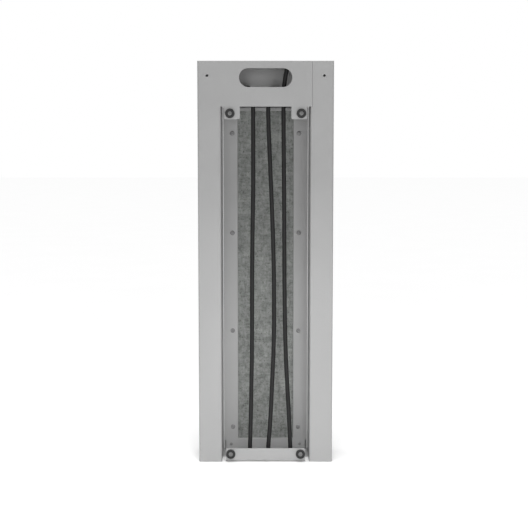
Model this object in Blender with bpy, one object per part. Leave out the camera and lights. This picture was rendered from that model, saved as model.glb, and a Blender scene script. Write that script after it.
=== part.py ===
"""Vertical cable tray: a steel column that carries leads up a desk leg.

Two box-section uprights stand either side of an open bay.  The left upright carries the
header, whose port lets a lead out, and two ears.  A felt-lined frame closes the back of the
bay.  Four ring magnets hold a lift-off cover, which is not fitted.

Metres, +Z up.  The origin is on the floor in the middle of the column, and the front faces -Y.
"""

import math

import bmesh
import bpy
from mathutils import Matrix, Vector

# ---------------------------------------------------------------- driving dimensions
WIDTH = 0.2154
DEPTH = 0.085
HEIGHT = 0.643
FRONT = -DEPTH / 2
REAR = DEPTH / 2
GAP = 0.0003                    # clearance left between pieces that touch
THROUGH = 0.005                 # how far a cutter runs past the face it cuts

UPRIGHT_WIDTH = 0.037
WALL = 0.002
CORNER_RADIUS = 0.0027
BAY_HALF = WIDTH / 2 - UPRIGHT_WIDTH

HEADER_HEIGHT = 0.0712
HEADER_BOTTOM = HEIGHT - HEADER_HEIGHT
SEAM_X = 0.0736                 # where the header meets the right upright
PORT_WIDTH = 0.084
PORT_HEIGHT = 0.0295
PORT_Z = 0.617
EAR_INNER = 0.0407
EAR_OUTER = 0.0654
EAR_BOTTOM = 0.552
EAR_RADIUS = 0.0015
TAPPING_X = 0.0925              # small fixing holes in the front of the uprights
TAPPING_Z = 0.6202
TAPPING_RADIUS = 0.0017

LINING_HALF = BAY_HALF - GAP    # half width of the plates that fit between the uprights
SLIT = 0.0007                   # open slit down each side of the frame and of the rear panel
PANEL_HALF = BAY_HALF - SLIT
FRAME_SETBACK = 0.076           # from the front plane to the frame's face
FRAME_THICKNESS = 0.0015
FRAME_Y = FRONT + FRAME_SETBACK
FRAME_TOP = 0.574               # just above the header's lower edge
WINDOW_HALF = 0.046
WINDOW_BOTTOM = 0.0196
WINDOW_TOP = 0.569
LIP_DEPTH = 0.0025              # the window's edges are folded back by this much
NOTCH_X = 0.0677
NOTCH_WIDTH = 0.0020
NOTCH_TOP = 0.0165

FELT_THICKNESS = 0.0031
FELT_HALF = 0.068
FELT_BOTTOM = 0.012
FELT_TOP = 0.5725
FELT_Y = FRAME_Y + FRAME_THICKNESS + LIP_DEPTH + GAP

REAR_PANEL_THICKNESS = 0.0013
PLATE_THICKNESS = 0.002
FIXING_X = 0.035                # bolt holes in the top and floor plates
FIXING_RADIUS = 0.0045

BRACKET_HALF = 0.0642
BRACKET_HEIGHT = 0.0219
BRACKET_DEPTH = 0.030
BRACKET_BEND = 0.004
BRACKET_CORNER = 0.003

MAGNET_X = 0.0565
MAGNET_TOP_Z = 0.5610
MAGNET_BASE_Z = 0.0129
MAGNET_RADIUS = 0.0075
MAGNET_HEIGHT = 0.0035
MAGNET_HOLE = 0.0019
MAGNET_SINK = 0.0037            # radius of the counterbore for the screw head
MAGNET_SINK_DEPTH = 0.0016

FRAME_SCREW_X = 0.055
FRAME_SCREW_Z = (0.0394, 0.2035, 0.3675, 0.5320)
FRAME_SCREW_HEAD = 0.00375
BASE_SCREW_X = 0.0577
BASE_SCREW_Z = 0.0099
BASE_SCREW_HEAD = 0.0025

LEAD_RADIUS = 0.0034
LEAD_STEP = 0.0136              # distance between the points of a lead's tube
LEAD_END = 0.004                # straight stretch that meets a coupler squarely
BLOCK_HALF = 0.050
BLOCK_DEPTH = 0.019
BLOCK_HEIGHT = 0.009
COLLAR_RADIUS = 0.0055
COLLAR_HEIGHT = 0.003
COUPLER_WIDTH = 0.016
COUPLER_HEIGHT = 0.0105

# Each lead's route, from the terminal block up to its coupler.
LEAD_ROUTES = {
    "left": [
        (-0.0256, -0.0275, 0.0146), (-0.0254, -0.0275, 0.0250), (-0.0242, -0.0273, 0.0660),
        (-0.0233, -0.0268, 0.1150), (-0.0224, -0.0264, 0.1650), (-0.0220, -0.0262, 0.2170),
        (-0.0218, -0.0262, 0.2950), (-0.0211, -0.0264, 0.3680), (-0.0202, -0.0268, 0.4240),
        (-0.0198, -0.0272, 0.4800), (-0.0198, -0.0275, 0.5320), (-0.0198, -0.0275, 0.5600),
        (-0.0200, -0.0275, 0.5770), (-0.0208, -0.0256, 0.5873), (-0.0230, -0.0202, 0.5961),
        (-0.0263, -0.0121, 0.6019), (-0.0303, -0.0025, 0.6040), (-0.0325, 0.0049, 0.6040),
        (-0.0333, 0.0127, 0.6040), (-0.0333, 0.0210, 0.6040), (-0.0333, 0.0299, 0.6040),
    ],
    "middle": [
        (0.0042, -0.0275, 0.0146), (0.0046, -0.0275, 0.0250), (0.0072, -0.0276, 0.0570),
        (0.0093, -0.0279, 0.0980), (0.0112, -0.0282, 0.1400), (0.0129, -0.0284, 0.1810),
        (0.0136, -0.0285, 0.2170), (0.0134, -0.0284, 0.2950), (0.0120, -0.0281, 0.3600),
        (0.0096, -0.0278, 0.4240), (0.0073, -0.0276, 0.4800), (0.0050, -0.0275, 0.5320),
        (0.0042, -0.0275, 0.5600), (0.0043, -0.0275, 0.5752), (0.0050, -0.0256, 0.5855),
        (0.0069, -0.0200, 0.5943), (0.0098, -0.0118, 0.6001), (0.0132, -0.0020, 0.6022),
        (0.0149, 0.0045, 0.6022), (0.0155, 0.0112, 0.6022), (0.0155, 0.0205, 0.6022),
        (0.0155, 0.0299, 0.6022),
    ],
    "right": [
        (0.0406, -0.0275, 0.0146), (0.0402, -0.0275, 0.0250), (0.0384, -0.0273, 0.0660),
        (0.0357, -0.0270, 0.1150), (0.0332, -0.0268, 0.1650), (0.0315, -0.0267, 0.2170),
        (0.0307, -0.0267, 0.2750), (0.0303, -0.0268, 0.3280), (0.0297, -0.0270, 0.4240),
        (0.0292, -0.0272, 0.4800), (0.0287, -0.0274, 0.5320), (0.0285, -0.0275, 0.5690),
        (0.0284, -0.0275, 0.5880), (0.0292, -0.0275, 0.6030), (0.0302, -0.0275, 0.6120),
        (0.0316, -0.0275, 0.6205), (0.0331, -0.0275, 0.6280), (0.0333, -0.0275, 0.6325),
    ],
}


# ---------------------------------------------------------------- building tools
def clear_scene():
    for thing in list(bpy.data.objects):
        bpy.data.objects.remove(thing, do_unlink=True)


def make_material(name, colour, roughness, metallic=0.0):
    finish = bpy.data.materials.new(name)
    finish.use_nodes = True
    shader = finish.node_tree.nodes["Principled BSDF"]
    shader.inputs["Base Color"].default_value = (*colour, 1.0)
    shader.inputs["Roughness"].default_value = roughness
    shader.inputs["Metallic"].default_value = metallic
    return finish


def link_object(name, data, finish=None):
    item = bpy.data.objects.new(name, data)
    bpy.context.scene.collection.objects.link(item)
    if finish:
        data.materials.append(finish)
    return item


def mesh_object(name, form, finish=None):
    """Turn a bmesh into an object, with every face pointing out."""
    bmesh.ops.recalc_face_normals(form, faces=form.faces)
    mesh = bpy.data.meshes.new(name)
    form.to_mesh(mesh)
    form.free()
    return link_object(name, mesh, finish)


def shade_round(item, angle_degrees=40):
    item.data.shade_smooth()
    item.data.set_sharp_from_angle(angle=math.radians(angle_degrees))


def rounded_outline(left, right, low, high, radius, steps=3):
    """A rectangle with round corners, as points in order."""
    points = []
    corners = ((right, high, 0), (left, high, 90), (left, low, 180), (right, low, 270))
    for corner_u, corner_v, start in corners:
        centre_u = corner_u - math.copysign(radius, corner_u - (left + right) / 2)
        centre_v = corner_v - math.copysign(radius, corner_v - (low + high) / 2)
        for step in range(steps + 1):
            turn = math.radians(start + 90 * step / steps)
            points.append((centre_u + radius * math.cos(turn), centre_v + radius * math.sin(turn)))
    return points


def circle_outline(centre_u, centre_v, radius, sides=12):
    turns = [math.tau * side / sides for side in range(sides)]
    return [(centre_u + radius * math.cos(turn), centre_v + radius * math.sin(turn)) for turn in turns]


def add_prism(form, outline, start, end, axis):
    """Extrude a closed outline: (x, z) points along Y, or (x, y) points along Z."""
    if axis == "Y":
        corners = [form.verts.new((u, start, v)) for u, v in outline]
        travel = Vector((0, end - start, 0))
    else:
        corners = [form.verts.new((u, v, start)) for u, v in outline]
        travel = Vector((0, 0, end - start))
    face = form.faces.new(corners)
    grown = bmesh.ops.extrude_face_region(form, geom=[face])["geom"]
    far_corners = [part for part in grown if isinstance(part, bmesh.types.BMVert)]
    bmesh.ops.translate(form, verts=far_corners, vec=travel)


def prism(name, outline, start, end, axis, finish=None):
    form = bmesh.new()
    add_prism(form, outline, start, end, axis)
    return mesh_object(name, form, finish)


def turned_mesh(name, profile, finish, sides=16, closed=False):
    """Spin a profile of (radius, distance) points about the Y axis."""
    form = bmesh.new()
    points = [form.verts.new((radius, distance, 0)) for radius, distance in profile]
    edges = [form.edges.new(pair) for pair in zip(points, points[1:])]
    if closed:
        edges.append(form.edges.new((points[-1], points[0])))
    bmesh.ops.spin(form, geom=points + edges, cent=(0, 0, 0), axis=(0, 1, 0),
                   angle=math.tau, steps=sides, use_merge=True)
    bmesh.ops.remove_doubles(form, verts=form.verts, dist=0.000001)
    bmesh.ops.recalc_face_normals(form, faces=form.faces)
    mesh = bpy.data.meshes.new(name)
    form.to_mesh(mesh)
    form.free()
    mesh.materials.append(finish)
    mesh.shade_smooth()
    mesh.set_sharp_from_angle(angle=math.radians(40))
    return mesh


def combine(item, other, operation):
    """Boolean with a hidden helper object."""
    other.hide_render = True
    other.display_type = "WIRE"
    modifier = item.modifiers.new(operation.title(), "BOOLEAN")
    modifier.operation = operation
    modifier.object = other


def cut_holes(item, outlines, start, end, axis):
    """Cut one or more closed outlines right through an object."""
    form = bmesh.new()
    for outline in outlines:
        add_prism(form, outline, start, end, axis)
    combine(item, mesh_object(item.name + "_cutter", form), "DIFFERENCE")


def smooth_route(points, step):
    """Read evenly spaced points off a smooth curve through the route's own points."""
    points = [Vector(point) for point in points]
    before = points[0] * 2 - points[1]
    after = points[-1] * 2 - points[-2]
    guides = [before, *points, after]
    fine = []
    for a, b, c, d in zip(guides, guides[1:], guides[2:], guides[3:]):
        knots = [0.0]
        for one, two in ((a, b), (b, c), (c, d)):
            knots.append(knots[-1] + math.sqrt((two - one).length))
        for piece in range(24):
            at = knots[1] + (knots[2] - knots[1]) * piece / 24
            ab = a.lerp(b, (at - knots[0]) / (knots[1] - knots[0]))
            bc = b.lerp(c, (at - knots[1]) / (knots[2] - knots[1]))
            cd = c.lerp(d, (at - knots[2]) / (knots[3] - knots[2]))
            abc = ab.lerp(bc, (at - knots[0]) / (knots[2] - knots[0]))
            bcd = bc.lerp(cd, (at - knots[1]) / (knots[3] - knots[1]))
            fine.append(abc.lerp(bcd, (at - knots[1]) / (knots[2] - knots[1])))
    fine.append(points[-1])
    travelled = [0.0]
    for one, two in zip(fine, fine[1:]):
        travelled.append(travelled[-1] + (two - one).length)
    count = max(2, round(travelled[-1] / step))
    even = []
    place = 0
    for number in range(count + 1):
        wanted = travelled[-1] * number / count
        while place < len(fine) - 2 and travelled[place + 1] < wanted:
            place += 1
        span = travelled[place + 1] - travelled[place]
        even.append(fine[place].lerp(fine[place + 1], (wanted - travelled[place]) / span))
    heading = (points[-1] - points[-2]).normalized()
    even.insert(-1, points[-1] - heading * LEAD_END)
    return even


# ---------------------------------------------------------------- uprights and header
def upright_tube(name, side, finish):
    """A box-section upright, open at its foot and closed at its top."""
    outer_edges = sorted((side * WIDTH / 2, side * BAY_HALF))
    inner_edges = (outer_edges[0] + WALL, outer_edges[1] - WALL)
    outline = rounded_outline(*outer_edges, FRONT, REAR, CORNER_RADIUS)
    hollow = rounded_outline(*inner_edges, FRONT + WALL, REAR - WALL, CORNER_RADIUS - WALL)
    tube = prism(name, outline, 0, HEIGHT, "Z", finish)
    cut_holes(tube, [hollow], -THROUGH, HEIGHT - WALL, "Z")
    tapping = circle_outline(side * TAPPING_X, TAPPING_Z, TAPPING_RADIUS)
    cut_holes(tube, [tapping], FRONT - THROUGH, FRONT + WALL + 0.001, "Y")
    return tube


def header_outline():
    """Outline of the header and its two ears, from its left end to the seam."""
    left_end = -WIDTH / 2 + UPRIGHT_WIDTH / 2
    right_ear = (
        (EAR_INNER, HEADER_BOTTOM),
        (EAR_INNER, EAR_BOTTOM + EAR_RADIUS),
        (EAR_INNER + EAR_RADIUS, EAR_BOTTOM),
        (EAR_OUTER - EAR_RADIUS, EAR_BOTTOM),
        (EAR_OUTER, EAR_BOTTOM + EAR_RADIUS),
        (EAR_OUTER, HEADER_BOTTOM),
    )
    left_ear = [(-x, z) for x, z in reversed(right_ear)]
    return [
        (left_end, HEADER_BOTTOM), *left_ear, *right_ear,
        (SEAM_X, HEADER_BOTTOM), (SEAM_X, HEIGHT), (left_end, HEIGHT),
    ]


def build_left_upright_header(paint):
    upright = upright_tube("left_upright_header", -1, paint)
    header = prism("header_blank", header_outline(), FRONT, FRONT + WALL, "Y")
    combine(upright, header, "UNION")
    port = rounded_outline(-PORT_WIDTH / 2, PORT_WIDTH / 2, PORT_Z - PORT_HEIGHT / 2,
                           PORT_Z + PORT_HEIGHT / 2, PORT_HEIGHT / 2 - 0.00001, steps=10)
    ear_holes = [circle_outline(side * MAGNET_X, MAGNET_TOP_Z, MAGNET_HOLE) for side in (-1, 1)]
    cut_holes(upright, [port, *ear_holes], FRONT - THROUGH, FRONT + WALL + THROUGH, "Y")
    shade_round(upright)


def build_right_upright(paint):
    upright = upright_tube("right_upright", 1, paint)
    notch = [
        (BAY_HALF - THROUGH, FRONT - THROUGH), (SEAM_X + GAP, FRONT - THROUGH),
        (SEAM_X + GAP, FRONT + WALL + GAP), (BAY_HALF - THROUGH, FRONT + WALL + GAP),
    ]
    cut_holes(upright, [notch], HEADER_BOTTOM - GAP, HEIGHT + THROUGH, "Z")
    shade_round(upright)


# ---------------------------------------------------------------- the back of the bay
def frame_screw_holes(radius):
    return [circle_outline(side * FRAME_SCREW_X, height, radius)
            for side in (-1, 1) for height in FRAME_SCREW_Z]


def window_outline(margin):
    return rounded_outline(-WINDOW_HALF - margin, WINDOW_HALF + margin,
                           WINDOW_BOTTOM - margin, WINDOW_TOP + margin, 0.0015 + margin)


def build_back_frame(paint):
    """A sheet with a tall window, whose edges are folded back as a lip."""
    low = PLATE_THICKNESS + GAP
    outline = rounded_outline(-PANEL_HALF, PANEL_HALF, low, FRAME_TOP, 0.001)
    frame = prism("back_frame", outline, FRAME_Y, FRAME_Y + FRAME_THICKNESS, "Y", paint)
    lip = prism("frame_lip_blank", window_outline(FRAME_THICKNESS), FRAME_Y + FRAME_THICKNESS / 2,
                FRAME_Y + FRAME_THICKNESS + LIP_DEPTH, "Y")
    combine(frame, lip, "UNION")
    base_holes = [circle_outline(side * BASE_SCREW_X, BASE_SCREW_Z, 0.0015) for side in (-1, 1)]
    notches = [rounded_outline(side * NOTCH_X - NOTCH_WIDTH / 2, side * NOTCH_X + NOTCH_WIDTH / 2,
                               low - THROUGH, NOTCH_TOP, 0.0003, steps=1) for side in (-1, 1)]
    openings = [window_outline(0), *frame_screw_holes(0.0021), *base_holes, *notches]
    cut_holes(frame, openings, FRAME_Y - THROUGH, FRAME_Y + FRAME_THICKNESS + THROUGH, "Y")


def build_felt_liner(felt):
    outline = rounded_outline(-FELT_HALF, FELT_HALF, FELT_BOTTOM, FELT_TOP, 0.002)
    liner = prism("felt_liner", outline, FELT_Y, FELT_Y + FELT_THICKNESS, "Y", felt)
    cut_holes(liner, frame_screw_holes(0.0021), FELT_Y - 0.001, FELT_Y + FELT_THICKNESS + 0.001, "Y")


def build_rear_panel(paint):
    start = REAR - REAR_PANEL_THICKNESS
    outline = rounded_outline(-PANEL_HALF, PANEL_HALF, 0, HEIGHT, 0.001, steps=1)
    panel = prism("rear_panel", outline, start, REAR, "Y", paint)
    cut_holes(panel, frame_screw_holes(0.0021), start - THROUGH, REAR + THROUGH, "Y")


# ---------------------------------------------------------------- top, floor and base
def build_plate(name, low, front, paint):
    """A level plate inside the column, with two bolt holes."""
    rear = REAR - REAR_PANEL_THICKNESS - GAP
    outline = rounded_outline(-LINING_HALF, LINING_HALF, front, rear, 0.001, steps=1)
    plate = prism(name, outline, low, low + PLATE_THICKNESS, "Z", paint)
    bolt_y = (front + rear) / 2
    bolts = [circle_outline(side * FIXING_X, bolt_y, FIXING_RADIUS, 16) for side in (-1, 1)]
    cut_holes(plate, bolts, low - THROUGH, low + PLATE_THICKNESS + THROUGH, "Z")


def build_base_bracket(paint):
    """An angle at the foot of the bay: its front flange stands, its floor flange runs back."""
    outer_bend = [(math.radians(270 - 90 * step / 4)) for step in range(5)]
    centre_y = FRONT + BRACKET_BEND
    profile = [(FRONT + BRACKET_DEPTH, 0)]
    profile += [(centre_y + BRACKET_BEND * math.cos(turn), BRACKET_BEND + BRACKET_BEND * math.sin(turn))
                for turn in outer_bend]
    inner_radius = BRACKET_BEND - PLATE_THICKNESS
    profile += [(FRONT, BRACKET_HEIGHT), (FRONT + PLATE_THICKNESS, BRACKET_HEIGHT)]
    profile += [(centre_y + inner_radius * math.cos(turn), BRACKET_BEND + inner_radius * math.sin(turn))
                for turn in reversed(outer_bend)]
    profile += [(FRONT + BRACKET_DEPTH, PLATE_THICKNESS)]
    form = bmesh.new()
    corners = [form.verts.new((-BRACKET_HALF, y, z)) for y, z in profile]
    face = form.faces.new(corners)
    grown = bmesh.ops.extrude_face_region(form, geom=[face])["geom"]
    far_corners = [part for part in grown if isinstance(part, bmesh.types.BMVert)]
    bmesh.ops.translate(form, verts=far_corners, vec=(2 * BRACKET_HALF, 0, 0))
    bracket = mesh_object("base_bracket", form, paint)
    keep = rounded_outline(-BRACKET_HALF, BRACKET_HALF, -0.010, BRACKET_HEIGHT, BRACKET_CORNER)
    combine(bracket, prism("base_bracket_keep", keep, FRONT - THROUGH, FRONT + 0.040, "Y"), "INTERSECT")
    holes = [circle_outline(side * MAGNET_X, MAGNET_BASE_Z, MAGNET_HOLE) for side in (-1, 1)]
    cut_holes(bracket, holes, FRONT - THROUGH, FRONT + PLATE_THICKNESS + 0.002, "Y")
    shade_round(bracket)


# ---------------------------------------------------------------- magnets and screws
def magnet_mesh(rubber):
    """A ring magnet, its front face at distance 0 and its counterbore open to the front."""
    edge = 0.0004
    profile = [
        (MAGNET_SINK, 0), (MAGNET_RADIUS - edge, 0), (MAGNET_RADIUS, edge),
        (MAGNET_RADIUS, MAGNET_HEIGHT), (MAGNET_HOLE, MAGNET_HEIGHT),
        (MAGNET_HOLE, MAGNET_SINK_DEPTH), (MAGNET_SINK, MAGNET_SINK_DEPTH),
    ]
    return turned_mesh("magnet_ring", profile, rubber, sides=24, closed=True)


def screw_mesh(name, head_radius, head_height, shank_radius, shank_length, finish):
    """A pan-head screw: the underside of its head is at distance 0 and its shank runs along +Y."""
    profile = [
        (0, -head_height), (head_radius * 0.55, -head_height * 0.92), (head_radius * 0.88, -head_height * 0.6),
        (head_radius, -head_height * 0.2), (head_radius * 0.97, 0), (shank_radius, 0),
        (shank_radius, shank_length - 0.0005), (shank_radius - 0.0004, shank_length), (0, shank_length),
    ]
    return turned_mesh(name, profile, finish, sides=16)


def place_on(name, mesh, x, y, z):
    item = link_object(name, mesh)
    item.location = (x, y, z)
    return item


def build_magnets(rubber, steel):
    ring = magnet_mesh(rubber)
    face_y = FRONT - GAP - MAGNET_HEIGHT
    seat_y = face_y + MAGNET_SINK_DEPTH - GAP
    shank = MAGNET_HEIGHT - MAGNET_SINK_DEPTH + 2 * GAP + WALL + 0.003
    screw = screw_mesh("magnet_screw", 0.0034, 0.0014, 0.0015, shank, steel)
    for row, height in (("top", MAGNET_TOP_Z), ("base", MAGNET_BASE_Z)):
        for hand, side in (("left", -1), ("right", 1)):
            place_on(f"magnet_ring_{row}_{hand}", ring, side * MAGNET_X, face_y, height)
            place_on(f"magnet_screw_{row}_{hand}", screw, side * MAGNET_X, seat_y, height)


def build_frame_screws(steel):
    reach = REAR - FRAME_Y
    long_screw = screw_mesh("frame_screw", FRAME_SCREW_HEAD, 0.0022, 0.0017, reach, steel)
    short_screw = screw_mesh("base_screw", BASE_SCREW_HEAD, 0.0016, 0.0012, 0.004, steel)
    seat_y = FRAME_Y - GAP
    for hand, side in (("left", -1), ("right", 1)):
        for number, height in enumerate(FRAME_SCREW_Z, start=1):
            place_on(f"frame_screw_{hand}_{number}", long_screw, side * FRAME_SCREW_X, seat_y, height)
        place_on(f"base_screw_{hand}", short_screw, side * BASE_SCREW_X, seat_y, BASE_SCREW_Z)


# ---------------------------------------------------------------- leads and their housings
def build_terminal_block(plastic):
    """The low block behind the base bracket that the leads come up out of."""
    low = PLATE_THICKNESS + GAP
    front = LEAD_ROUTES["middle"][0][1] - BLOCK_DEPTH / 2
    outline = rounded_outline(-BLOCK_HALF, BLOCK_HALF, front, front + BLOCK_DEPTH, 0.002)
    block = prism("terminal_block", outline, low, low + BLOCK_HEIGHT, "Z", plastic)
    form = bmesh.new()
    for route in LEAD_ROUTES.values():
        x, y, top = route[0]
        collar = circle_outline(x, y, COLLAR_RADIUS, 20)
        add_prism(form, collar, low + BLOCK_HEIGHT / 2, top - GAP, "Z")
    combine(block, mesh_object("terminal_collars", form), "UNION")
    shade_round(block)


def build_couplers(plastic):
    """Each lead's upper housing: a collar that faces the lead, and a body on the wall beyond it.

    The right lead ends under the top plate, and the others end at the rear panel.
    """
    half_width, half_height = COUPLER_WIDTH / 2, COUPLER_HEIGHT / 2
    outline = rounded_outline(-half_width, half_width, -half_height, half_height, 0.002)
    collar_outline = circle_outline(0, 0, COLLAR_RADIUS - 0.0004, 20)
    for hand, route in LEAD_ROUTES.items():
        _, y, z = route[-1]
        if hand == "right":
            axis, length = "Z", HEIGHT - PLATE_THICKNESS - GAP - z
        else:
            axis, length = "Y", REAR - REAR_PANEL_THICKNESS - GAP - y
        coupler = prism(f"coupler_{hand}", outline, COLLAR_HEIGHT, length, axis, plastic)
        collar = prism(f"collar_{hand}", collar_outline, GAP, COLLAR_HEIGHT + 0.001, axis)
        combine(coupler, collar, "UNION")
        for item in (coupler, collar):
            item.location = route[-1]
        shade_round(coupler)


def build_leads(jacket):
    for hand, route in LEAD_ROUTES.items():
        tube = bpy.data.curves.new(f"lead_{hand}", "CURVE")
        tube.dimensions = "3D"
        tube.bevel_depth = LEAD_RADIUS
        tube.bevel_resolution = 2
        tube.use_fill_caps = True
        spline = tube.splines.new("POLY")
        points = smooth_route(route, LEAD_STEP)
        spline.points.add(len(points) - 1)
        for slot, point in zip(spline.points, points):
            slot.co = (*point, 1.0)
        link_object(f"lead_{hand}", tube, jacket)


# ---------------------------------------------------------------- the whole column
def main():
    clear_scene()
    paint = make_material("powder_coat", (0.35, 0.35, 0.35), 0.5)
    frame_paint = make_material("frame_paint", (0.39, 0.39, 0.39), 0.55)
    felt = make_material("felt", (0.26, 0.27, 0.26), 0.95)
    steel = make_material("screw_steel", (0.30, 0.30, 0.30), 0.55, 0.3)
    rubber = make_material("magnet_rubber", (0.012, 0.012, 0.012), 0.6)
    jacket = make_material("lead_jacket", (0.017, 0.017, 0.017), 0.62)
    plastic = make_material("black_plastic", (0.027, 0.027, 0.027), 0.5)

    build_left_upright_header(paint)
    build_right_upright(paint)
    build_back_frame(frame_paint)
    build_felt_liner(felt)
    build_rear_panel(paint)
    build_plate("top_plate", HEIGHT - PLATE_THICKNESS, FRONT + WALL + GAP, paint)
    build_plate("floor_plate", 0, FRONT + BRACKET_DEPTH + GAP, paint)
    build_base_bracket(paint)
    build_magnets(rubber, steel)
    build_frame_screws(steel)
    build_terminal_block(plastic)
    build_couplers(plastic)
    build_leads(jacket)


main()
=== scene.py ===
"""Looks of the vertical cable tray: camera, floor and light, and a finished piece for each part.

Metres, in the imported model's frame: +Z up, the front faces -Y, the floor is at z = 0.
"""

import math

import bmesh
import bpy
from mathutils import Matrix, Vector, noise


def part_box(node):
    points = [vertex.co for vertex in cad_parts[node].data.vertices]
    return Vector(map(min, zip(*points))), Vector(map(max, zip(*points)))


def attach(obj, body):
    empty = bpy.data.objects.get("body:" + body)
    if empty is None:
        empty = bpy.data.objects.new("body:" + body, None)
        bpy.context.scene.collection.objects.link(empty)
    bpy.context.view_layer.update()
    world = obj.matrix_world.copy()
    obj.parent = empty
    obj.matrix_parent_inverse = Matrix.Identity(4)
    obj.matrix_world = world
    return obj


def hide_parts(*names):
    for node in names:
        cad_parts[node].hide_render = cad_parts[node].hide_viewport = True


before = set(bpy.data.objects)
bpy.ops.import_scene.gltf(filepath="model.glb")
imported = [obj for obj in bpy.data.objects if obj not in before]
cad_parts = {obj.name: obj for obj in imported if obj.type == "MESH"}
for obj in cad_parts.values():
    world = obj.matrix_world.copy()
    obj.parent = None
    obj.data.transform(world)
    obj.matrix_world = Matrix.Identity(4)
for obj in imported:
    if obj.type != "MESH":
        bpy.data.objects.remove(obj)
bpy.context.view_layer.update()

# ---------------------------------------------------------------- camera
CAMERA_PLACE = (-0.0026, -1.760, 0.480)
CAMERA_TILT = 84.76             # degrees up from looking straight down
SENSOR_WIDTH = 36               # millimetres, as is the focal length
FOCAL_LENGTH = 73.6

# ---------------------------------------------------------------- sizes
CLEARANCE = 0.005               # how far a cutter runs past the face it cuts
WALL = 0.002                    # sheet thickness of the column
CORNER_RADIUS = 0.0027          # folded corners of the uprights
EDGE = 0.0004                   # softened edge of cut sheet
UPRIGHT_WIDTH = 0.037
GAP = 0.0003                    # the seam between header and right upright
PLATE_CORNER = 0.001            # corners of the flat sheets
SCREW_HOLE_RADIUS = 0.0021      # clearance holes of the frame screws
MAGNET_HOLE_RADIUS = 0.0019     # bores of the magnets, and the holes behind them
BOLT_X = 0.035                  # bolt holes of the top and floor plates
BOLT_RADIUS = 0.0045

SHELL_LOW, SHELL_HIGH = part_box("right_upright")
INNER_X, OUTER_X = SHELL_LOW.x, SHELL_HIGH.x
FRONT, REAR = SHELL_LOW.y, SHELL_HIGH.y
TOP = SHELL_HIGH.z

HEADER_BOTTOM = TOP - 0.0712
SEAM_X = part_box("left_upright_header")[1].x
PORT_HALF_WIDTH = 0.042
PORT_HALF_HEIGHT = 0.01475
PORT_Z = 0.617
EAR_INNER = 0.0407
EAR_OUTER = 0.0654
EAR_BOTTOM = 0.552
EAR_RADIUS = 0.0018
TAPPING_X = 0.0925
TAPPING_Z = 0.6202
TAPPING_RADIUS = 0.0017
TAPPING_SINK = 0.0012           # countersink, as deep as it is wider than the hole
DIMPLE_Z = 0.524                # a faint dimple lower on each upright
DIMPLE_RADIUS = 0.0026
DIMPLE_RIM = 0.0008             # how far its edge is eased outwards
DIMPLE_SOLE = 0.55              # its flat bottom, as a share of its radius
DIMPLE_DEPTH = 0.0003

FRAME_LOW, FRAME_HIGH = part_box("back_frame")
FRAME_THICKNESS = 0.0015
WINDOW_HALF = 0.046
WINDOW_BOTTOM = 0.0196
WINDOW_TOP = 0.569
WINDOW_CORNER = 0.0015
WINDOW_FOLD = 0.0013            # radius of the fold round the window
NOTCH_X = 0.0677
NOTCH_WIDTH = 0.0020
NOTCH_TOP = 0.0165
NOTCH_CORNER = 0.0003

BRACKET_LOW, BRACKET_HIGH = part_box("base_bracket")
BRACKET_BEND = 0.004
BRACKET_CORNER = 0.003

FELT_SINK = 0.0004              # how far the felt's face lies inside the CAD's, on average
# Layers of relief on the felt's face: a place in the noise, its scale, and its height.
FELT_RELIEF = ((0.3, 26, 0.00030), (0.7, 160, 0.00012), (1.1, 420, 0.00005))

MAGNET_SINK_RADIUS = 0.0037     # recess for the screw's head
MAGNET_SINK_DEPTH = 0.0016
MAGNET_EDGE = 0.0006

LEAD_RADIUS = 0.0034
LEAD_STEP = 0.003               # spacing of the points along a lead
COLLAR_RADIUS = 0.0055
COUPLER_COLLAR = 0.003          # length of a coupler's collar, up to its body
# Rings of the collars: how far along (as a share for the block, in metres for a coupler), and how
# far inside COLLAR_RADIUS.
BLOCK_COLLAR_RINGS = ((0.0, 0.0), (0.35, 0.0), (0.5, 0.0005), (0.65, 0.0001), (1.0, 0.0008))
COUPLER_COLLAR_RINGS = ((0.0003, 0.0009), (0.0010, 0.0006), (0.0016, 0.0010), (0.0022, 0.0005),
                        (0.0040, 0.0005))
HOUSING_CORNER = 0.002          # corners of the terminal block and the couplers
BLOCK_HEIGHT = 0.009            # terminal block without its collars
BLOCK_SEAMS_X = (-0.011, 0.022)
SEAM_HALF_WIDTH = 0.0004
SEAM_DEPTH = 0.0006

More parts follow.
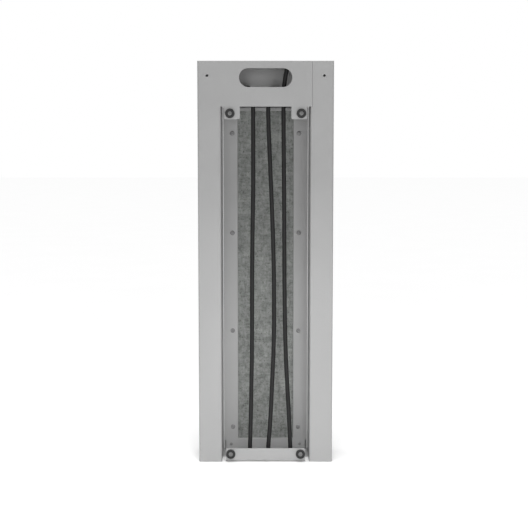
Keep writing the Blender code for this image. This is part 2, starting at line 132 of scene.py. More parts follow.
# The leads' routes, the same as the CAD's, from the terminal block up to each coupler.
LEAD_ROUTES = {
    "left": [
        (-0.0256, -0.0275, 0.0146), (-0.0254, -0.0275, 0.0250), (-0.0242, -0.0273, 0.0660),
        (-0.0233, -0.0268, 0.1150), (-0.0224, -0.0264, 0.1650), (-0.0220, -0.0262, 0.2170),
        (-0.0218, -0.0262, 0.2950), (-0.0211, -0.0264, 0.3680), (-0.0202, -0.0268, 0.4240),
        (-0.0198, -0.0272, 0.4800), (-0.0198, -0.0275, 0.5320), (-0.0198, -0.0275, 0.5600),
        (-0.0200, -0.0275, 0.5770), (-0.0208, -0.0256, 0.5873), (-0.0230, -0.0202, 0.5961),
        (-0.0263, -0.0121, 0.6019), (-0.0303, -0.0025, 0.6040), (-0.0325, 0.0049, 0.6040),
        (-0.0333, 0.0127, 0.6040), (-0.0333, 0.0210, 0.6040), (-0.0333, 0.0299, 0.6040),
    ],
    "middle": [
        (0.0042, -0.0275, 0.0146), (0.0046, -0.0275, 0.0250), (0.0072, -0.0276, 0.0570),
        (0.0093, -0.0279, 0.0980), (0.0112, -0.0282, 0.1400), (0.0129, -0.0284, 0.1810),
        (0.0136, -0.0285, 0.2170), (0.0134, -0.0284, 0.2950), (0.0120, -0.0281, 0.3600),
        (0.0096, -0.0278, 0.4240), (0.0073, -0.0276, 0.4800), (0.0050, -0.0275, 0.5320),
        (0.0042, -0.0275, 0.5600), (0.0043, -0.0275, 0.5752), (0.0050, -0.0256, 0.5855),
        (0.0069, -0.0200, 0.5943), (0.0098, -0.0118, 0.6001), (0.0132, -0.0020, 0.6022),
        (0.0149, 0.0045, 0.6022), (0.0155, 0.0112, 0.6022), (0.0155, 0.0205, 0.6022),
        (0.0155, 0.0299, 0.6022),
    ],
    "right": [
        (0.0406, -0.0275, 0.0146), (0.0402, -0.0275, 0.0250), (0.0384, -0.0273, 0.0660),
        (0.0357, -0.0270, 0.1150), (0.0332, -0.0268, 0.1650), (0.0315, -0.0267, 0.2170),
        (0.0307, -0.0267, 0.2750), (0.0303, -0.0268, 0.3280), (0.0297, -0.0270, 0.4240),
        (0.0292, -0.0272, 0.4800), (0.0287, -0.0274, 0.5320), (0.0285, -0.0275, 0.5690),
        (0.0284, -0.0275, 0.5880), (0.0292, -0.0275, 0.6030), (0.0302, -0.0275, 0.6120),
        (0.0316, -0.0275, 0.6205), (0.0331, -0.0275, 0.6280), (0.0333, -0.0275, 0.6325),
    ],
}


# ---------------------------------------------------------------- mesh tools
def new_object(name, mesh, material=None):
    item = bpy.data.objects.new(name, mesh)
    bpy.context.scene.collection.objects.link(item)
    if material:
        mesh.materials.append(material)
    return item


def mesh_from(form, name):
    bmesh.ops.recalc_face_normals(form, faces=form.faces)
    mesh = bpy.data.meshes.new(name)
    form.to_mesh(mesh)
    form.free()
    return mesh


def rounded_outline(left, right, low, high, radius, steps=6):
    """A rectangle with round corners, as points in order."""
    points = []
    corners = ((right, high, 0), (left, high, 90), (left, low, 180), (right, low, 270))
    for corner_u, corner_v, start in corners:
        centre_u = corner_u - math.copysign(radius, corner_u - (left + right) / 2)
        centre_v = corner_v - math.copysign(radius, corner_v - (low + high) / 2)
        for step in range(steps + 1):
            turn = math.radians(start + 90 * step / steps)
            points.append((centre_u + radius * math.cos(turn), centre_v + radius * math.sin(turn)))
    return points


def circle_outline(centre_u, centre_v, radius, sides=32):
    turns = [math.tau * side / sides for side in range(sides)]
    return [(centre_u + radius * math.cos(turn), centre_v + radius * math.sin(turn)) for turn in turns]


def add_loft(form, rings, axis):
    """A closed solid through rings of equal count: each ring is (outline, distance along the axis)."""
    loops = []
    for outline, distance in rings:
        if axis == "X":
            loops.append([form.verts.new((distance, u, v)) for u, v in outline])
        elif axis == "Y":
            loops.append([form.verts.new((u, distance, v)) for u, v in outline])
        else:
            loops.append([form.verts.new((u, v, distance)) for u, v in outline])
    count = len(loops[0])
    for near, far in zip(loops, loops[1:]):
        for index in range(count):
            after = (index + 1) % count
            form.faces.new((near[index], near[after], far[after], far[index]))
    form.faces.new(loops[0])
    form.faces.new(list(reversed(loops[-1])))


def loft(name, rings, axis, material=None):
    form = bmesh.new()
    add_loft(form, rings, axis)
    return new_object(name, mesh_from(form, name), material)


def prism(name, outline, start, end, axis, material=None):
    return loft(name, [(outline, start), (outline, end)], axis, material)


def turned_mesh(name, profile, sides=48, closed=False):
    """Spin a profile of (radius, distance) points about the Y axis."""
    form = bmesh.new()
    points = [form.verts.new((radius, distance, 0)) for radius, distance in profile]
    edges = [form.edges.new(pair) for pair in zip(points, points[1:])]
    if closed:
        edges.append(form.edges.new((points[-1], points[0])))
    bmesh.ops.spin(form, geom=points + edges, cent=(0, 0, 0), axis=(0, 1, 0),
                   angle=math.tau, steps=sides, use_merge=True)
    bmesh.ops.remove_doubles(form, verts=form.verts, dist=0.000001)
    return mesh_from(form, name)


def rounded_profile(corners, radius, steps=4):
    """A profile whose inner corners are rounded to a radius, or less where a side is short."""
    points = [corners[0]]
    for before, corner, after in zip(corners, corners[1:], corners[2:]):
        before, corner, after = Vector(before), Vector(corner), Vector(after)
        reach = min(radius, (before - corner).length / 2.2, (after - corner).length / 2.2)
        start = corner + (before - corner).normalized() * reach
        end = corner + (after - corner).normalized() * reach
        for step in range(steps + 1):
            part = step / steps
            bend = start.lerp(corner, part).lerp(corner.lerp(end, part), part)
            points.append((bend.x, bend.y))
    points.append(corners[-1])
    return points


def apply_modifiers(item):
    graph = bpy.context.evaluated_depsgraph_get()
    mesh = bpy.data.meshes.new_from_object(item.evaluated_get(graph), depsgraph=graph)
    mesh.name = item.name
    item.modifiers.clear()
    item.data = mesh


def combine(item, other, operation):
    """Apply a boolean with a helper object, and remove the helper."""
    modifier = item.modifiers.new(operation.title(), "BOOLEAN")
    modifier.operation = operation
    modifier.object = other
    apply_modifiers(item)
    bpy.data.objects.remove(other, do_unlink=True)


def cut(item, outlines, start, end, axis):
    """Cut straight through an item from one distance to another along an axis."""
    form = bmesh.new()
    for outline in outlines:
        add_loft(form, [(outline, start), (outline, end)], axis)
    combine(item, new_object("cutter", mesh_from(form, "cutter")), "DIFFERENCE")


def soften(item, width=EDGE, segments=3, angle=30):
    """Round the sharp edges of a cut or folded sheet, and keep its flats flat."""
    bevel = item.modifiers.new("Edges", "BEVEL")
    bevel.width = width
    bevel.segments = segments
    bevel.limit_method = "ANGLE"
    bevel.angle_limit = math.radians(angle)
    item.data.shade_smooth()
    normals = item.modifiers.new("Flats", "WEIGHTED_NORMAL")
    normals.keep_sharp = True


def shade_round(mesh, angle=35):
    mesh.shade_smooth()
    mesh.set_sharp_from_angle(angle=math.radians(angle))


def smooth_route(points, step):
    """Read evenly spaced points off a smooth curve through the route's own points."""
    pieces = 24                     # short chords between one point of the route and the next
    points = [Vector(point) for point in points]
    before = points[0] * 2 - points[1]
    after = points[-1] * 2 - points[-2]
    guides = [before, *points, after]
    fine = []
    for a, b, c, d in zip(guides, guides[1:], guides[2:], guides[3:]):
        knots = [0.0]
        for one, two in ((a, b), (b, c), (c, d)):
            knots.append(knots[-1] + math.sqrt((two - one).length))
        for piece in range(pieces):
            at = knots[1] + (knots[2] - knots[1]) * piece / pieces
            ab = a.lerp(b, (at - knots[0]) / (knots[1] - knots[0]))
            bc = b.lerp(c, (at - knots[1]) / (knots[2] - knots[1]))
            cd = c.lerp(d, (at - knots[2]) / (knots[3] - knots[2]))
            abc = ab.lerp(bc, (at - knots[0]) / (knots[2] - knots[0]))
            bcd = bc.lerp(cd, (at - knots[1]) / (knots[3] - knots[1]))
            fine.append(abc.lerp(bcd, (at - knots[1]) / (knots[2] - knots[1])))
    fine.append(points[-1])
    travelled = [0.0]
    for one, two in zip(fine, fine[1:]):
        travelled.append(travelled[-1] + (two - one).length)
    count = max(2, round(travelled[-1] / step))
    even = []
    place = 0
    for number in range(count + 1):
        wanted = travelled[-1] * number / count
        while place < len(fine) - 2 and travelled[place + 1] < wanted:
            place += 1
        span = travelled[place + 1] - travelled[place]
        even.append(fine[place].lerp(fine[place + 1], (wanted - travelled[place]) / span))
    return even


def finish_piece(piece, slot, *nodes):
    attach(piece, "root")
    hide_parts(*nodes)


# ---------------------------------------------------------------- materials
class Finish:
    """Builds one Principled material node by node, in the piece's own coordinates."""

    def __init__(self, name, roughness, metallic=0.0):
        self.material = bpy.data.materials.new(name)
        self.material.use_nodes = True
        self.nodes = self.material.node_tree.nodes
        self.links = self.material.node_tree.links
        self.shader = self.nodes["Principled BSDF"]
        self.shader.inputs["Roughness"].default_value = roughness
        self.shader.inputs["Metallic"].default_value = metallic
        self.place = self.nodes.new("ShaderNodeTexCoord").outputs["Object"]

    def stretched(self, scale):
        mapping = self.nodes.new("ShaderNodeMapping")
        mapping.inputs["Scale"].default_value = scale
        self.links.new(self.place, mapping.inputs["Vector"])
        return mapping.outputs["Vector"]

    def noise(self, scale, detail=2.0, roughness=0.5, distortion=0.0, place=None):
        texture = self.nodes.new("ShaderNodeTexNoise")
        texture.inputs["Scale"].default_value = scale
        texture.inputs["Detail"].default_value = detail
        texture.inputs["Roughness"].default_value = roughness
        texture.inputs["Distortion"].default_value = distortion
        self.links.new(place or self.place, texture.inputs["Vector"])
        return texture.outputs["Fac"]

    def grains(self, scale, place=None):
        texture = self.nodes.new("ShaderNodeTexVoronoi")
        texture.inputs["Scale"].default_value = scale
        self.links.new(place or self.place, texture.inputs["Vector"])
        return texture.outputs["Distance"]

    def ramp(self, value, stops):
        """Colours or greys at places along a value from 0 to 1."""
        node = self.nodes.new("ShaderNodeValToRGB")
        band = node.color_ramp
        while len(band.elements) < len(stops):
            band.elements.new(0.5)
        for element, (at, colour) in zip(band.elements, stops):
            element.position = at
            if isinstance(colour, (int, float)):
                colour = (colour, colour, colour)
            element.color = (*colour, 1.0)
        self.links.new(value, node.inputs["Fac"])
        return node.outputs["Color"]

    def maths(self, operation, first, second):
        node = self.nodes.new("ShaderNodeMath")
        node.operation = operation
        for socket, value in zip(node.inputs, (first, second)):
            if isinstance(value, (int, float)):
                socket.default_value = value
            else:
                self.links.new(value, socket)
        return node.outputs["Value"]

    def blend(self, mode, amount, first, second):
        node = self.nodes.new("ShaderNodeMix")
        node.data_type = "RGBA"
        node.blend_type = mode
        if isinstance(amount, (int, float)):
            node.inputs["Factor"].default_value = amount
        else:
            self.links.new(amount, node.inputs["Factor"])
        for socket, colour in ((node.inputs[6], first), (node.inputs[7], second)):
            if isinstance(colour, tuple):
                socket.default_value = (*colour, 1.0)
            else:
                self.links.new(colour, socket)
        return node.outputs[2]

    def colour(self, socket):
        self.links.new(socket, self.shader.inputs["Base Color"])

    def roughness(self, socket):
        self.links.new(socket, self.shader.inputs["Roughness"])

    def bump(self, height, distance, strength=1.0, over=None):
        node = self.nodes.new("ShaderNodeBump")
        node.inputs["Strength"].default_value = strength
        node.inputs["Distance"].default_value = distance
        self.links.new(height, node.inputs["Height"])
        if over:
            self.links.new(over, node.inputs["Normal"])
        self.links.new(node.outputs["Normal"], self.shader.inputs["Normal"])
        return node.outputs["Normal"]


def tinted(grey, share):
    return (grey * share, grey * share, grey * share)


def powder_coat(name, grey, roughness=0.5):
    """Baked paint: a fine orange-peel skin, with slow drifts of tone and gloss."""
    finish = Finish(name, roughness)
    drift = finish.noise(9.0, detail=3.0)
    tone = finish.ramp(drift, [(0.3, tinted(grey, 0.975)), (0.7, tinted(grey, 1.025))])
    speck = finish.ramp(finish.noise(2600.0, detail=1.0), [(0.32, 0.90), (0.42, 1.0)])
    finish.colour(finish.blend("MULTIPLY", 0.6, tone, speck))
    wear = finish.noise(40.0, detail=3.0)
    finish.roughness(finish.ramp(wear, [(0.3, roughness - 0.05), (0.7, roughness + 0.06)]))
    peel = finish.bump(finish.noise(620.0, detail=2.0, roughness=0.6), 0.00005, 0.5)
    finish.bump(finish.noise(2600.0, detail=1.0), 0.00002, 0.35, over=peel)
    return finish.material


def felt_finish():
    """Needle felt: light and dark fibres pressed together, blotched and flecked."""
    finish = Finish("felt", 0.95)
    shader = finish.shader
    shader.inputs["Sheen Weight"].default_value = 0.25
    shader.inputs["Sheen Roughness"].default_value = 0.6
    shader.inputs["Specular IOR Level"].default_value = 0.2
    blotch = finish.noise(55.0, detail=5.0, roughness=0.65, distortion=1.2)
    tone = finish.ramp(blotch, [(0.30, (0.205, 0.214, 0.205)), (0.52, (0.262, 0.272, 0.261)),
                                (0.72, (0.318, 0.328, 0.314))])
    strands = finish.noise(300.0, detail=4.0, roughness=0.7, place=finish.stretched((1.0, 1.0, 0.35)))
    cross = finish.noise(300.0, detail=4.0, roughness=0.7, place=finish.stretched((0.35, 1.0, 1.0)))
    fibres = finish.maths("MULTIPLY", strands, cross)
    flecks = finish.ramp(fibres, [(0.13, 0.45), (0.24, 0.95), (0.40, 1.25)])
    wool = finish.blend("MULTIPLY", 0.85, tone, flecks)
    specks = finish.ramp(finish.noise(340.0, detail=1.5), [(0.31, 0.45), (0.40, 1.0)])
    finish.colour(finish.blend("MULTIPLY", 0.8, wool, specks))
    fuzz = finish.bump(fibres, 0.0009, 0.9)
    finish.bump(finish.noise(1500.0, detail=3.0, roughness=0.7), 0.00025, 0.6, over=fuzz)
    return finish.material


def screw_finish(name, grey, metallic):
    """Dull zinc plate, with a little tarnish."""
    finish = Finish(name, 0.55, metallic=metallic)
    tarnish = finish.noise(350.0, detail=4.0, roughness=0.65)
    finish.colour(finish.ramp(tarnish, [(0.3, tinted(grey, 0.75)), (0.65, tinted(grey, 1.1))]))
    finish.roughness(finish.ramp(finish.noise(900.0, detail=3.0), [(0.3, 0.50), (0.7, 0.64)]))
    finish.bump(finish.noise(2400.0, detail=2.0), 0.00002, 0.4)
    return finish.material


def rubber_finish():
    """The magnets' black rubber coat, matte and slightly pitted."""
    finish = Finish("magnet_rubber", 0.55)
    finish.colour(finish.ramp(finish.noise(500.0, detail=4.0), [(0.3, 0.008), (0.7, 0.016)]))
    finish.roughness(finish.ramp(finish.noise(1200.0, detail=2.0), [(0.3, 0.52), (0.7, 0.70)]))
    finish.bump(finish.noise(1800.0, detail=3.0), 0.00004, 0.5)
    return finish.material


def jacket_finish():
    """The leads' soft black jackets: dull, faintly drawn along their length, dusty in places."""
    finish = Finish("lead_jacket", 0.62)
    finish.shader.inputs["Specular IOR Level"].default_value = 0.30
    drawn = finish.noise(900.0, detail=2.0, place=finish.stretched((1.0, 1.0, 0.04)))
    dust = finish.noise(120.0, detail=5.0, roughness=0.6)
    finish.colour(finish.ramp(dust, [(0.35, 0.009), (0.75, 0.018)]))
    finish.roughness(finish.ramp(dust, [(0.3, 0.56), (0.7, 0.70)]))
    finish.bump(drawn, 0.00005, 0.4)
    return finish.material


def plastic_finish():
    """Moulded black plastic with a fine spark-eroded grain."""
    finish = Finish("black_plastic", 0.5)
    finish.colour(finish.ramp(finish.noise(200.0, detail=3.0), [(0.3, 0.022), (0.7, 0.032)]))
    finish.roughness(finish.ramp(finish.noise(700.0, detail=2.0), [(0.3, 0.44), (0.7, 0.58)]))
    finish.bump(finish.grains(2200.0), 0.00004, 0.5)
    return finish.material


# ---------------------------------------------------------------- camera, floor and light
def build_camera():
    lens = bpy.data.cameras.new("camera")
    lens.sensor_width = SENSOR_WIDTH
    lens.lens = FOCAL_LENGTH
    camera = bpy.data.objects.new("camera", lens)
    camera.location = CAMERA_PLACE
    camera.rotation_euler = (math.radians(CAMERA_TILT), 0, 0)
    bpy.context.scene.collection.objects.link(camera)
    bpy.context.scene.camera = camera


def build_floor():
    """A wide pale floor, a hair below the column's foot."""
    half, level = 40.0, -0.0002
    form = bmesh.new()
    corners = ((-half, -half), (half, -half), (half, half), (-half, half))
    form.faces.new([form.verts.new((x, y, level)) for x, y in corners])
    finish = Finish("floor", 0.9)
    finish.colour(finish.ramp(finish.noise(3.0, detail=2.0), [(0.3, 0.945), (0.7, 0.955)]))
    new_object("floor", mesh_from(form, "floor"), finish.material)


def add_light(name, kind, place, target, power):
    """A lamp that faces its target and doesn't show in the picture."""
    lamp = bpy.data.lights.new(name, kind)
    lamp.energy = power
    holder = bpy.data.objects.new(name, lamp)
    holder.location = place
    holder.rotation_euler = (Vector(target) - Vector(place)).to_track_quat("-Z", "Y").to_euler()
    holder.visible_camera = False
    bpy.context.scene.collection.objects.link(holder)
    return lamp


def add_softbox(name, place, target, power, size):
    """A rectangular area lamp: its size is its width and its height."""
    lamp = add_light(name, "AREA", place, target, power)
    lamp.shape = "RECTANGLE"
    lamp.size, lamp.size_y = size
    return lamp


def build_light():
    """A dim white surround, a broad overhead light, and softboxes in front that favour the foot.

    The camera sees a plain white backdrop, which is brighter than the surround that lights the tray.
    """
    world = bpy.data.worlds.new("studio")
    bpy.context.scene.world = world
    world.use_nodes = True
    nodes, links = world.node_tree.nodes, world.node_tree.links
    surround = nodes["Background"]
    surround.inputs["Color"].default_value = (1.0, 1.0, 1.0, 1.0)
    surround.inputs["Strength"].default_value = 0.15
    backdrop = nodes.new("ShaderNodeBackground")
    backdrop.inputs["Color"].default_value = (1.0, 1.0, 1.0, 1.0)
    direct = nodes.new("ShaderNodeLightPath").outputs["Is Camera Ray"]
    choice = nodes.new("ShaderNodeMixShader")
    links.new(direct, choice.inputs["Fac"])
    links.new(surround.outputs["Background"], choice.inputs[1])
    links.new(backdrop.outputs["Background"], choice.inputs[2])
    links.new(choice.outputs["Shader"], nodes["World Output"].inputs["Surface"])

    overhead = add_light("overhead", "SUN", (-0.1, -0.15, 3.0), (0, 0, 0), 2.95)
    overhead.angle = math.radians(44)
    add_softbox("front_softbox", (0.09, -1.65, 0.48), (0, 0, 0.20), 6.8, (1.0, 0.6))
    add_softbox("low_softbox", (0.04, -0.80, 0.07), (0, 0, 0.06), 0.27, (0.35, 0.12))
    foot_lamp = add_softbox("foot_softbox", (0.04, -0.62, 0.60), (0, 0, -0.02), 0.28, (0.30, 0.20))
    foot_lamp.spread = math.radians(56)
    bpy.context.scene.view_settings.view_transform = "Standard"


# ---------------------------------------------------------------- uprights and header
def drill(item, x, z, steps):
    """Cut a round hole into the front face: its steps are pairs of a radius and a depth."""
    rings = [(circle_outline(x, z, radius), FRONT + depth) for radius, depth in steps]
    combine(item, loft("drill", rings, "Y"), "DIFFERENCE")


def magnet_holes(node, sides=32):
    """Outlines of a level pair of magnets' screw holes, from the node of the right one."""
    low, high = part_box(node)
    centre = (low + high) / 2
    return [circle_outline(side * centre.x, centre.z, MAGNET_HOLE_RADIUS, sides) for side in (-1, 1)]


def upright_tube(name, side, paint):
    """A box section closed at its top, with a tapping hole and a dimple in its front."""
    outer = sorted((side * OUTER_X, side * INNER_X))
    outline = rounded_outline(*outer, FRONT, REAR, CORNER_RADIUS, steps=8)
    hollow = rounded_outline(outer[0] + WALL, outer[1] - WALL, FRONT + WALL, REAR - WALL,
                             CORNER_RADIUS - WALL)
    tube = prism(name, outline, 0, TOP, "Z", paint)
    cut(tube, [hollow], -CLEARANCE, TOP - WALL, "Z")
    past = 0.001
    drill(tube, side * TAPPING_X, TAPPING_Z, (
        (TAPPING_RADIUS + TAPPING_SINK + past, -past), (TAPPING_RADIUS + TAPPING_SINK, 0),
        (TAPPING_RADIUS, TAPPING_SINK), (TAPPING_RADIUS, WALL + past)))
    drill(tube, side * TAPPING_X, DIMPLE_Z, (
        (DIMPLE_RADIUS + DIMPLE_RIM, -DIMPLE_DEPTH), (DIMPLE_RADIUS, 0),
        (DIMPLE_RADIUS * DIMPLE_SOLE, DIMPLE_DEPTH)))
    return tube


def ear_outline():
    """The right ear's outline below the header, from its inner side to its outer side."""
    points = [(EAR_INNER, HEADER_BOTTOM)]
    for centre_x, start in ((EAR_INNER + EAR_RADIUS, 180), (EAR_OUTER - EAR_RADIUS, 270)):
        for step in range(5):
            turn = math.radians(start + 90 * step / 4)
            points.append((centre_x + EAR_RADIUS * math.cos(turn),
                           EAR_BOTTOM + EAR_RADIUS + EAR_RADIUS * math.sin(turn)))
    points.append((EAR_OUTER, HEADER_BOTTOM))
    return points


def build_left_upright_header(paint):
    """The left tube, with the header and its ears welded on and the port cut through it."""
    upright = upright_tube("column_left_and_header", -1, paint)
    right_ear = ear_outline()
    left_ear = [(-x, z) for x, z in reversed(right_ear)]
    left_end = -OUTER_X + UPRIGHT_WIDTH / 2
    outline = [(left_end, HEADER_BOTTOM), *left_ear, *right_ear,
               (SEAM_X, HEADER_BOTTOM), (SEAM_X, TOP), (left_end, TOP)]
    combine(upright, prism("header", outline, FRONT, FRONT + WALL, "Y"), "UNION")
    almost_round = PORT_HALF_HEIGHT - 0.00001       # so that no two points of the port's ends meet
    port = rounded_outline(-PORT_HALF_WIDTH, PORT_HALF_WIDTH, PORT_Z - PORT_HALF_HEIGHT,
                           PORT_Z + PORT_HALF_HEIGHT, almost_round, steps=16)
    holes = magnet_holes("magnet_ring_top_right")
    cut(upright, [port, *holes], FRONT - CLEARANCE, FRONT + WALL + CLEARANCE, "Y")
    soften(upright)
    finish_piece(upright, "powder_coat", "left_upright_header")


def build_right_upright(paint):
    """The right tube, notched where the header laps over it."""
    upright = upright_tube("column_right", 1, paint)
    notch = [(INNER_X - CLEARANCE, FRONT - CLEARANCE), (SEAM_X + GAP, FRONT - CLEARANCE),
             (SEAM_X + GAP, FRONT + WALL + GAP), (INNER_X - CLEARANCE, FRONT + WALL + GAP)]
    cut(upright, [notch], HEADER_BOTTOM - GAP, TOP + CLEARANCE, "Z")
    soften(upright)
    finish_piece(upright, "powder_coat", "right_upright")


# ---------------------------------------------------------------- the back of the bay
def frame_screw_centres():
    for hand in ("left", "right"):
        for number in range(1, 5):
            name = f"frame_screw_{hand}_{number}"
            low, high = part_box(name)
            yield name, (low + high) / 2


def frame_screw_holes(sides):
    return [circle_outline(centre.x, centre.z, SCREW_HOLE_RADIUS, sides)
            for _, centre in frame_screw_centres()]


def window_outline(margin):
    return rounded_outline(-WINDOW_HALF - margin, WINDOW_HALF + margin,
                           WINDOW_BOTTOM - margin, WINDOW_TOP + margin, WINDOW_CORNER + margin)


def build_back_frame(paint):
    """The windowed sheet. Its window is cut with a flared tool, which leaves the fold's round edge."""
    face = FRAME_LOW.y
    outline = rounded_outline(FRAME_LOW.x, FRAME_HIGH.x, FRAME_LOW.z, FRAME_HIGH.z, PLATE_CORNER)
    sheet = prism("bay_frame", outline, face, face + FRAME_THICKNESS, "Y", paint)
    lip = prism("lip", window_outline(FRAME_THICKNESS), face + FRAME_THICKNESS / 2, FRAME_HIGH.y, "Y")
    combine(sheet, lip, "UNION")
    flare = [(window_outline(WINDOW_FOLD + CLEARANCE / 2), face - CLEARANCE / 2)]
    for step in range(7):
        turn = math.radians(90 * step / 6)
        margin = WINDOW_FOLD * (1 - math.sin(turn))
        flare.append((window_outline(margin), face + WINDOW_FOLD * (1 - math.cos(turn))))
    flare.append((window_outline(0), FRAME_HIGH.y + CLEARANCE))
    combine(sheet, loft("window_tool", flare, "Y"), "DIFFERENCE")
    notches = [rounded_outline(side * NOTCH_X - NOTCH_WIDTH / 2, side * NOTCH_X + NOTCH_WIDTH / 2,
                               FRAME_LOW.z - CLEARANCE, NOTCH_TOP, NOTCH_CORNER, steps=2)
               for side in (-1, 1)]
    cut(sheet, [*frame_screw_holes(16), *notches], face - CLEARANCE, face + FRAME_THICKNESS + CLEARANCE, "Y")
    soften(sheet, width=0.0002, segments=2, angle=40)
    finish_piece(sheet, "frame_paint", "back_frame")


def build_felt(felt):
    """A thick felt whose face swells and sinks a little between its screws."""
    low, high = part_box("felt_liner")
    columns, rows = 46, 188         # faces about 3 mm square
    form = bmesh.new()
    face, back = [], []
    for row in range(rows + 1):
        for column in range(columns + 1):
            x = low.x + (high.x - low.x) * column / columns
            z = low.z + (high.z - low.z) * row / rows
            relief = sum(noise.noise(Vector((x, layer, z)) * scale) * rise
                         for layer, scale, rise in FELT_RELIEF)
            face.append(form.verts.new((x, low.y + FELT_SINK + relief, z)))
            back.append(form.verts.new((x, high.y, z)))
    across = columns + 1
    for row in range(rows):
        for column in range(columns):
            a = row * across + column
            form.faces.new((face[a], face[a + 1], face[a + 1 + across], face[a + across]))
            form.faces.new((back[a], back[a + across], back[a + 1 + across], back[a + 1]))
    rim = list(range(columns))
    rim += [row * across + columns for row in range(rows)]
    rim += [rows * across + column for column in range(columns, 0, -1)]
    rim += [row * across for row in range(rows, 0, -1)]
    for one, two in zip(rim, rim[1:] + rim[:1]):
        form.faces.new((face[one], back[one], back[two], face[two]))
    liner = new_object("felt_backing", mesh_from(form, "felt_backing"), felt)
    cut(liner, frame_screw_holes(12), low.y - 0.002, high.y + 0.002, "Y")
    shade_round(liner.data)
    finish_piece(liner, "felt", "felt_liner")


def build_rear_panel(paint):
    low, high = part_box("rear_panel")
    outline = rounded_outline(low.x, high.x, low.z, high.z, PLATE_CORNER, steps=2)
    panel = prism("column_back", outline, low.y, high.y, "Y", paint)
    cut(panel, frame_screw_holes(20), low.y - CLEARANCE, high.y + CLEARANCE, "Y")
    soften(panel, width=0.00025, segments=2)
    finish_piece(panel, "powder_coat", "rear_panel")


# ---------------------------------------------------------------- top, floor and base
def build_plate(node, name, paint):
    """A level plate inside the column, with two bolt holes."""
    low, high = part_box(node)
    outline = rounded_outline(low.x, high.x, low.y, high.y, PLATE_CORNER, steps=2)
    plate = prism(name, outline, low.z, high.z, "Z", paint)
    bolts = [circle_outline(side * BOLT_X, (low.y + high.y) / 2, BOLT_RADIUS) for side in (-1, 1)]
    cut(plate, bolts, low.z - CLEARANCE, high.z + CLEARANCE, "Z")
    soften(plate, width=0.0003, segments=2)
    finish_piece(plate, "powder_coat", node)


def build_base_bracket(paint):
    """An angle at the foot of the bay: its front flange stands, its floor flange runs back."""
    turns = [math.radians(270 - 90 * step / 10) for step in range(11)]
    centre_y = BRACKET_LOW.y + BRACKET_BEND
    inner_radius = BRACKET_BEND - WALL
    profile = [(BRACKET_HIGH.y, 0)]
    profile += [(centre_y + BRACKET_BEND * math.cos(turn), BRACKET_BEND + BRACKET_BEND * math.sin(turn))
                for turn in turns]
    profile += [(BRACKET_LOW.y, BRACKET_HIGH.z), (BRACKET_LOW.y + WALL, BRACKET_HIGH.z)]
    profile += [(centre_y + inner_radius * math.cos(turn), BRACKET_BEND + inner_radius * math.sin(turn))
                for turn in reversed(turns)]
    profile += [(BRACKET_HIGH.y, WALL)]
    bracket = loft("bay_foot_bracket", [(profile, BRACKET_LOW.x), (profile, BRACKET_HIGH.x)], "X", paint)
    below = -0.010                  # the outline's lower corners stay clear of the bracket
    outline = rounded_outline(BRACKET_LOW.x, BRACKET_HIGH.x, below, BRACKET_HIGH.z, BRACKET_CORNER)
    keep = prism("keep", outline, BRACKET_LOW.y - CLEARANCE, BRACKET_HIGH.y + CLEARANCE, "Y")
    combine(bracket, keep, "INTERSECT")
    holes = magnet_holes("magnet_ring_base_right", sides=20)
    cut(bracket, holes, BRACKET_LOW.y - CLEARANCE, BRACKET_LOW.y + WALL + 0.002, "Y")
    soften(bracket, width=0.00035)
    finish_piece(bracket, "powder_coat", "base_bracket")


# ---------------------------------------------------------------- magnets and screws
def magnet_mesh():
    """A ring magnet with a recess in its front for the screw's head."""
    low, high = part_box("magnet_ring_top_left")
    radius, thickness = (high.x - low.x) / 2, high.y - low.y
    inner_end = (MAGNET_HOLE_RADIUS, MAGNET_SINK_DEPTH)
    corners = [inner_end, (MAGNET_SINK_RADIUS, MAGNET_SINK_DEPTH), (MAGNET_SINK_RADIUS, 0),
               (radius, 0), (radius, thickness), (MAGNET_HOLE_RADIUS, thickness), inner_end]
    profile = rounded_profile(corners, MAGNET_EDGE)
    return turned_mesh("magnet", profile[:-1], sides=64, closed=True)


def slot_tool(half_u, half_v, depth, corner):
    """One tapered slot of the cross that a driver fits."""
    mouth = rounded_outline(-half_u, half_u, -half_v, half_v, corner, 2)
    sole = rounded_outline(-half_u * 0.7, half_u * 0.7, -half_v * 0.7, half_v * 0.7, corner * 0.7, 2)
    return loft("slot_tool", [(mouth, -0.001), (mouth, 0.0), (sole, depth)], "Y")


def screw_mesh(name, node, head_height, shank_radius, crown):
    """A pan-head screw with a cross recess, as long as the node it replaces.

    The crown is the share of the head's height over which its top is domed.
    """
    low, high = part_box(node)
    head_radius, length = (high.x - low.x) / 2, high.y - low.y
    profile = [(0, 0)]
    for step in range(1, 9):
        turn = math.radians(90 * step / 8)
        profile.append((head_radius * math.sin(turn) ** 0.75,
                        head_height * crown * (1 - math.cos(turn) ** 0.8)))
    profile += [(head_radius, head_height * 0.9), (head_radius * 0.95, head_height),
                (shank_radius, head_height), (shank_radius, length - 0.0005),
                (shank_radius * 0.75, length), (0, length)]
    mesh = turned_mesh(name, profile, sides=32)
    screw = new_object(name, mesh)
    long_side, short_side, depth = head_radius * 0.5, head_radius * 0.13, head_height * 0.55
    combine(screw, slot_tool(long_side, short_side, depth, short_side * 0.4), "DIFFERENCE")
    combine(screw, slot_tool(short_side, long_side, depth * 1.02, short_side * 0.4), "DIFFERENCE")
    mesh = screw.data
    shade_round(mesh, 40)
    bpy.data.objects.remove(screw, do_unlink=True)
    return mesh


def place_copy(name, mesh, node, turn=0.0):
    """A copy of a turned mesh, on the axis of the node it replaces, turned by degrees."""
    low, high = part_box(node)
    item = bpy.data.objects.new(name, mesh)
    bpy.context.scene.collection.objects.link(item)
    item.location = ((low.x + high.x) / 2, low.y, (low.z + high.z) / 2)
    item.rotation_euler = (0, math.radians(turn), 0)
    return item


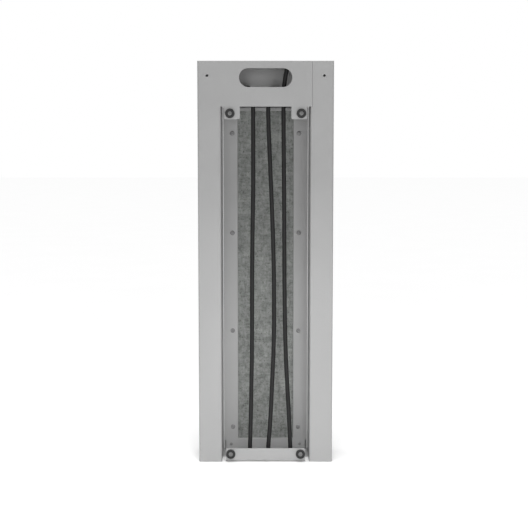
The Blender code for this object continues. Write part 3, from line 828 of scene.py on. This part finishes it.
def build_magnets(rubber, steel):
    ring = magnet_mesh()
    ring.materials.append(rubber)
    shade_round(ring)
    screw = screw_mesh("magnet_screw_shape", "magnet_screw_top_left",
                       head_height=0.0014, shank_radius=0.0015, crown=0.5)
    screw.materials.append(steel)
    for number, corner in enumerate(("top_left", "top_right", "base_left", "base_right")):
        ring_node, screw_node = f"magnet_ring_{corner}", f"magnet_screw_{corner}"
        magnet = place_copy(f"cover_magnet_{corner}", ring, ring_node)
        finish_piece(magnet, "magnet_rubber", ring_node)
        fixing = place_copy(f"cover_magnet_screw_{corner}", screw, screw_node, turn=20 + 37 * number)
        finish_piece(fixing, "screw_steel", screw_node)


def build_frame_screws(steel):
    """The eight frame screws and the two at the frame's foot, each turned its own way."""
    long_screw = screw_mesh("frame_screw_shape", "frame_screw_left_1",
                            head_height=0.0022, shank_radius=0.0017, crown=0.85)
    long_screw.materials.append(steel)
    for number, (node, _) in enumerate(frame_screw_centres()):
        fixing = place_copy(f"bay_{node}", long_screw, node, turn=15 + 53 * number)
        finish_piece(fixing, "screw_steel", node)
    short_screw = screw_mesh("base_screw_shape", "base_screw_left",
                             head_height=0.0016, shank_radius=0.0012, crown=0.85)
    short_screw.materials.append(steel)
    for number, hand in enumerate(("left", "right")):
        node = f"base_screw_{hand}"
        fixing = place_copy(f"bay_{node}", short_screw, node, turn=30 + 41 * number)
        finish_piece(fixing, "screw_steel", node)


# ---------------------------------------------------------------- leads and their housings
def build_terminal_block(plastic):
    """The block that the leads' lower ends go into, with a waisted collar round each."""
    low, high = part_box("terminal_block")
    body_top = low.z + BLOCK_HEIGHT
    outline = rounded_outline(low.x, high.x, low.y, high.y, HOUSING_CORNER)
    block = prism("lead_terminal_block", outline, low.z, body_top, "Z", plastic)
    seams = [[(x - SEAM_HALF_WIDTH, low.y - 0.001), (x + SEAM_HALF_WIDTH, low.y - 0.001),
              (x + SEAM_HALF_WIDTH, low.y + SEAM_DEPTH), (x - SEAM_HALF_WIDTH, low.y + SEAM_DEPTH)]
             for x in BLOCK_SEAMS_X]
    cut(block, seams, low.z + 0.001, body_top + 0.001, "Z")
    base = body_top - 0.002
    form = bmesh.new()
    for route in LEAD_ROUTES.values():
        x, y, _ = route[0]
        rings = [(circle_outline(x, y, COLLAR_RADIUS - inset), base + (high.z - base) * part)
                 for part, inset in BLOCK_COLLAR_RINGS]
        add_loft(form, rings, "Z")
    combine(block, new_object("collars", mesh_from(form, "collars")), "UNION")
    soften(block, width=0.0004, segments=2, angle=40)
    finish_piece(block, "black_plastic", "terminal_block")


def build_couplers(plastic):
    """Each lead's upper housing: a ribbed collar that faces the lead, and a body beyond it.

    The right lead's stands upright under the top plate, and the others lie against the rear panel.
    """
    for hand, route in LEAD_ROUTES.items():
        node = f"coupler_{hand}"
        low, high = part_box(node)
        size = high - low
        if hand == "right":
            axis, length, depth = "Z", high.z - route[-1][2], size.y
        else:
            axis, length, depth = "Y", high.y - route[-1][1], size.z
        outline = rounded_outline(-size.x / 2, size.x / 2, -depth / 2, depth / 2, HOUSING_CORNER)
        coupler = prism(f"lead_{node}", outline, COUPLER_COLLAR, length, axis, plastic)
        rings = [(circle_outline(0, 0, COLLAR_RADIUS - inset), place)
                 for place, inset in COUPLER_COLLAR_RINGS]
        combine(coupler, loft("collar", rings, axis), "UNION")
        soften(coupler, width=0.0005, segments=3, angle=35)
        coupler.location = route[-1]
        finish_piece(coupler, "black_plastic", node)


def build_leads(jacket):
    """Each lead is a round tube along its smoothed route."""
    for hand, route in LEAD_ROUTES.items():
        tube = bpy.data.curves.new(f"cable_{hand}", "CURVE")
        tube.dimensions = "3D"
        tube.bevel_depth = LEAD_RADIUS
        tube.bevel_resolution = 6
        tube.use_fill_caps = True
        spline = tube.splines.new("POLY")
        points = smooth_route(route, LEAD_STEP)
        spline.points.add(len(points) - 1)
        for slot, point in zip(spline.points, points):
            slot.co = (*point, 1.0)
        spline.use_smooth = True
        tube.materials.append(jacket)
        cable = bpy.data.objects.new(f"cable_{hand}", tube)
        bpy.context.scene.collection.objects.link(cable)
        finish_piece(cable, "lead_jacket", f"lead_{hand}")


# ---------------------------------------------------------------- the whole scene
build_camera()
build_floor()
build_light()

column_paint = powder_coat("column_paint", 0.35)
# The bay's paint is the column's grey made a tenth lighter: painted light, which brightens the shaded bay.
bay_paint_lightened = powder_coat("bay_paint_lightened", 0.385, roughness=0.55)
magnet_zinc = screw_finish("magnet_zinc", 0.19, metallic=0.35)
frame_zinc = screw_finish("frame_zinc", 0.28, metallic=0.15)

build_leads(jacket_finish())
build_left_upright_header(column_paint)
build_right_upright(column_paint)
build_back_frame(bay_paint_lightened)
build_felt(felt_finish())
build_rear_panel(column_paint)
build_plate("top_plate", "column_top_plate", column_paint)
build_plate("floor_plate", "column_floor_plate", column_paint)
build_base_bracket(column_paint)
build_magnets(rubber_finish(), magnet_zinc)
build_frame_screws(frame_zinc)
black_plastic = plastic_finish()
build_terminal_block(black_plastic)
build_couplers(black_plastic)
